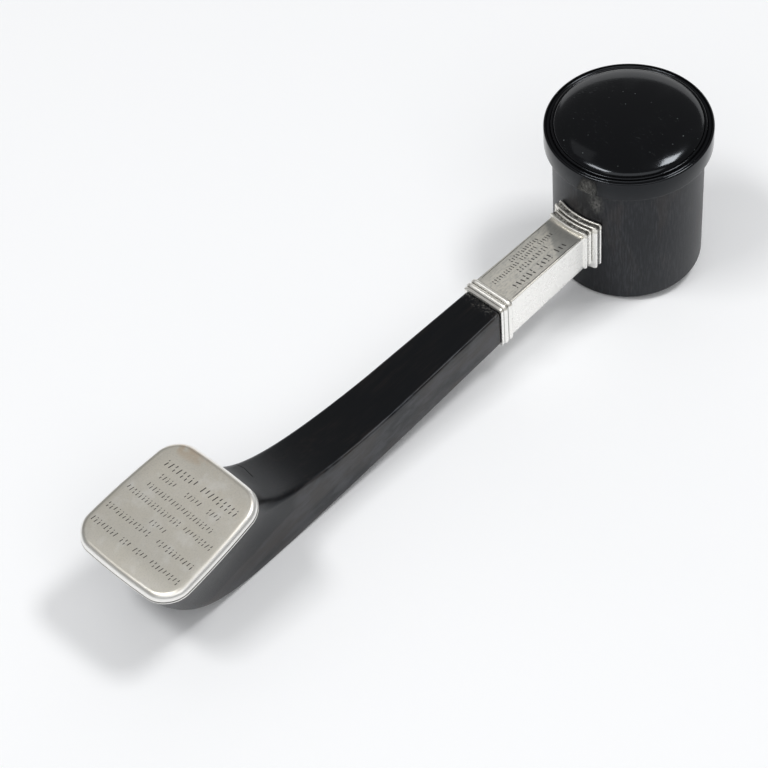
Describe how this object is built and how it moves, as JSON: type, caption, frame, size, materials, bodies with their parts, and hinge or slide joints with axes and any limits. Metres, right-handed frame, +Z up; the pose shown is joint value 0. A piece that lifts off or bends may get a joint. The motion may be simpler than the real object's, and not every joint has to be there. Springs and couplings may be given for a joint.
{
  "type": "ceremonial mallet",
  "caption": "Ceremonial gavel of black turned wood: a flanged domed drum head, a square silver ferrule, and a square handle flaring up to a silver plate.",
  "frame": {"origin": "middle of the small resting spot on the dome under the head, on the table that the mallet lies on", "axes": "+Z up from the table, -X along the handle from the head to the plate, Y across the mallet"},
  "size_m": [0.2659, 0.057, 0.0675],
  "materials": {
    "ebony": "near-black dense wood, polished on the dome and satin on the sides, with fine grain and pale polish residue",
    "silver": "silver with a warm tarnish, soft satin with brighter rubbed edges"
  },
  "bodies": {
    "root": {"head": "ebony", "handle": "ebony", "ferrule": "silver", "plate": "silver"}
  },
  "joints": []
}
